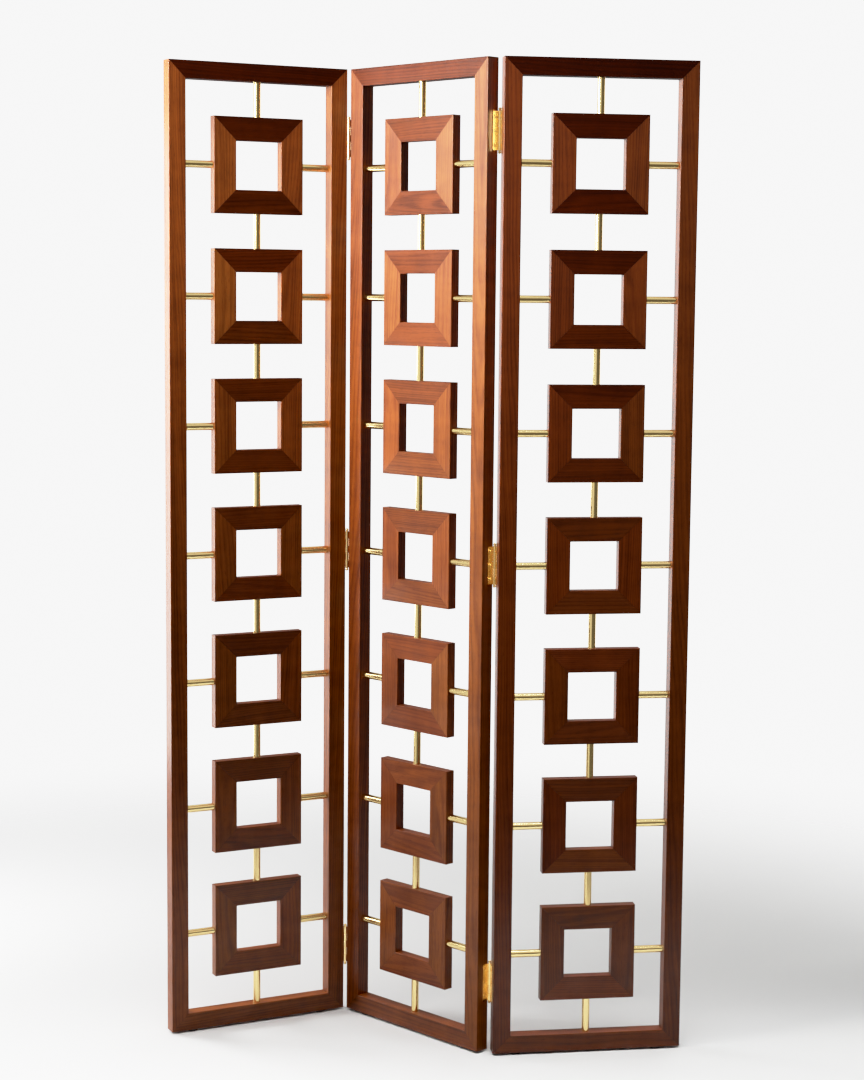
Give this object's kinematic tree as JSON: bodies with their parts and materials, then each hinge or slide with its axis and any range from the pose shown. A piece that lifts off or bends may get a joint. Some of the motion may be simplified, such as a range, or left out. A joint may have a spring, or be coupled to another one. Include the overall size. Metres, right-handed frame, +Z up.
{
  "type": "folding screen",
  "caption": "Folding room divider of hinged wooden leaves, each an open frame that holds a column of square wooden rings on brass rods.",
  "frame": {"origin": "on the floor, under the middle of the box that holds the standing screen", "axes": "+Z up, +X to the right and +Y to the back of the screen as it stands in the picture"},
  "size_m": [0.973, 0.285, 1.829],
  "materials": {
    "walnut_frame": "satin lacquered hardwood, reddish brown, straight grain along each bar",
    "walnut_rings": "satin lacquered hardwood, reddish brown, grain along each bar of the ring",
    "key_wood": "raw hardwood, hidden in the mitres",
    "satin_brass_rod": "satin lacquered brass",
    "hinge_brass": "polished brass, slightly worn",
    "hinge_screw_brass": "polished brass",
    "black_glide": "matte black",
    "nail_steel": "zinc plated"
  },
  "bodies": {
    "middle_panel": {"middle_panel_left_stile": "walnut_frame", "middle_panel_right_stile": "walnut_frame", "middle_panel_top_rail": "walnut_frame", "middle_panel_bottom_rail": "walnut_frame", "middle_panel_block_1": "walnut_rings", "middle_panel_block_2": "walnut_rings", "middle_panel_block_3": "walnut_rings", "middle_panel_block_4": "walnut_rings", "middle_panel_block_5": "walnut_rings", "middle_panel_block_6": "walnut_rings", "middle_panel_block_7": "walnut_rings", "middle_panel_vertical_rods": "satin_brass_rod", "middle_panel_side_rods": "satin_brass_rod", "middle_panel_mitre_keys": "key_wood", "middle_panel_feet": "black_glide", "middle_panel_foot_nails": "nail_steel", "middle_panel_left_hinge_leaves": "hinge_brass", "middle_panel_left_hinge_screws": "hinge_screw_brass", "middle_panel_right_hinge_leaves": "hinge_brass", "middle_panel_right_hinge_screws": "hinge_screw_brass", "left_hinge_pins": "hinge_brass", "left_hinge_tips": "hinge_brass", "right_hinge_pins": "hinge_brass", "right_hinge_tips": "hinge_brass"},
    "left_panel": {"left_panel_left_stile": "walnut_frame", "left_panel_right_stile": "walnut_frame", "left_panel_top_rail": "walnut_frame", "left_panel_bottom_rail": "walnut_frame", "left_panel_block_1": "walnut_rings", "left_panel_block_2": "walnut_rings", "left_panel_block_3": "walnut_rings", "left_panel_block_4": "walnut_rings", "left_panel_block_5": "walnut_rings", "left_panel_block_6": "walnut_rings", "left_panel_block_7": "walnut_rings", "left_panel_vertical_rods": "satin_brass_rod", "left_panel_side_rods": "satin_brass_rod", "left_panel_mitre_keys": "key_wood", "left_panel_feet": "black_glide", "left_panel_foot_nails": "nail_steel", "left_panel_hinge_leaves": "hinge_brass", "left_panel_hinge_screws": "hinge_screw_brass"},
    "right_panel": {"right_panel_left_stile": "walnut_frame", "right_panel_right_stile": "walnut_frame", "right_panel_top_rail": "walnut_frame", "right_panel_bottom_rail": "walnut_frame", "right_panel_block_1": "walnut_rings", "right_panel_block_2": "walnut_rings", "right_panel_block_3": "walnut_rings", "right_panel_block_4": "walnut_rings", "right_panel_block_5": "walnut_rings", "right_panel_block_6": "walnut_rings", "right_panel_block_7": "walnut_rings", "right_panel_vertical_rods": "satin_brass_rod", "right_panel_side_rods": "satin_brass_rod", "right_panel_mitre_keys": "key_wood", "right_panel_feet": "black_glide", "right_panel_foot_nails": "nail_steel", "right_panel_hinge_leaves": "hinge_brass", "right_panel_hinge_screws": "hinge_screw_brass"}
  },
  "joints": [
    {"name": "left_fold", "type": "hinge", "parent": "middle_panel", "child": "left_panel", "pos_m": [-0.15323, 0.11725, 0.9165], "axis": [0, 0, 1], "range_deg": [-71.5, 108.5]},
    {"name": "right_fold", "type": "hinge", "parent": "middle_panel", "child": "right_panel", "pos_m": [0.12712, -0.11337, 0.9165], "axis": [0, 0, 1], "range_deg": [-53.5, 126.5]}
  ]
}
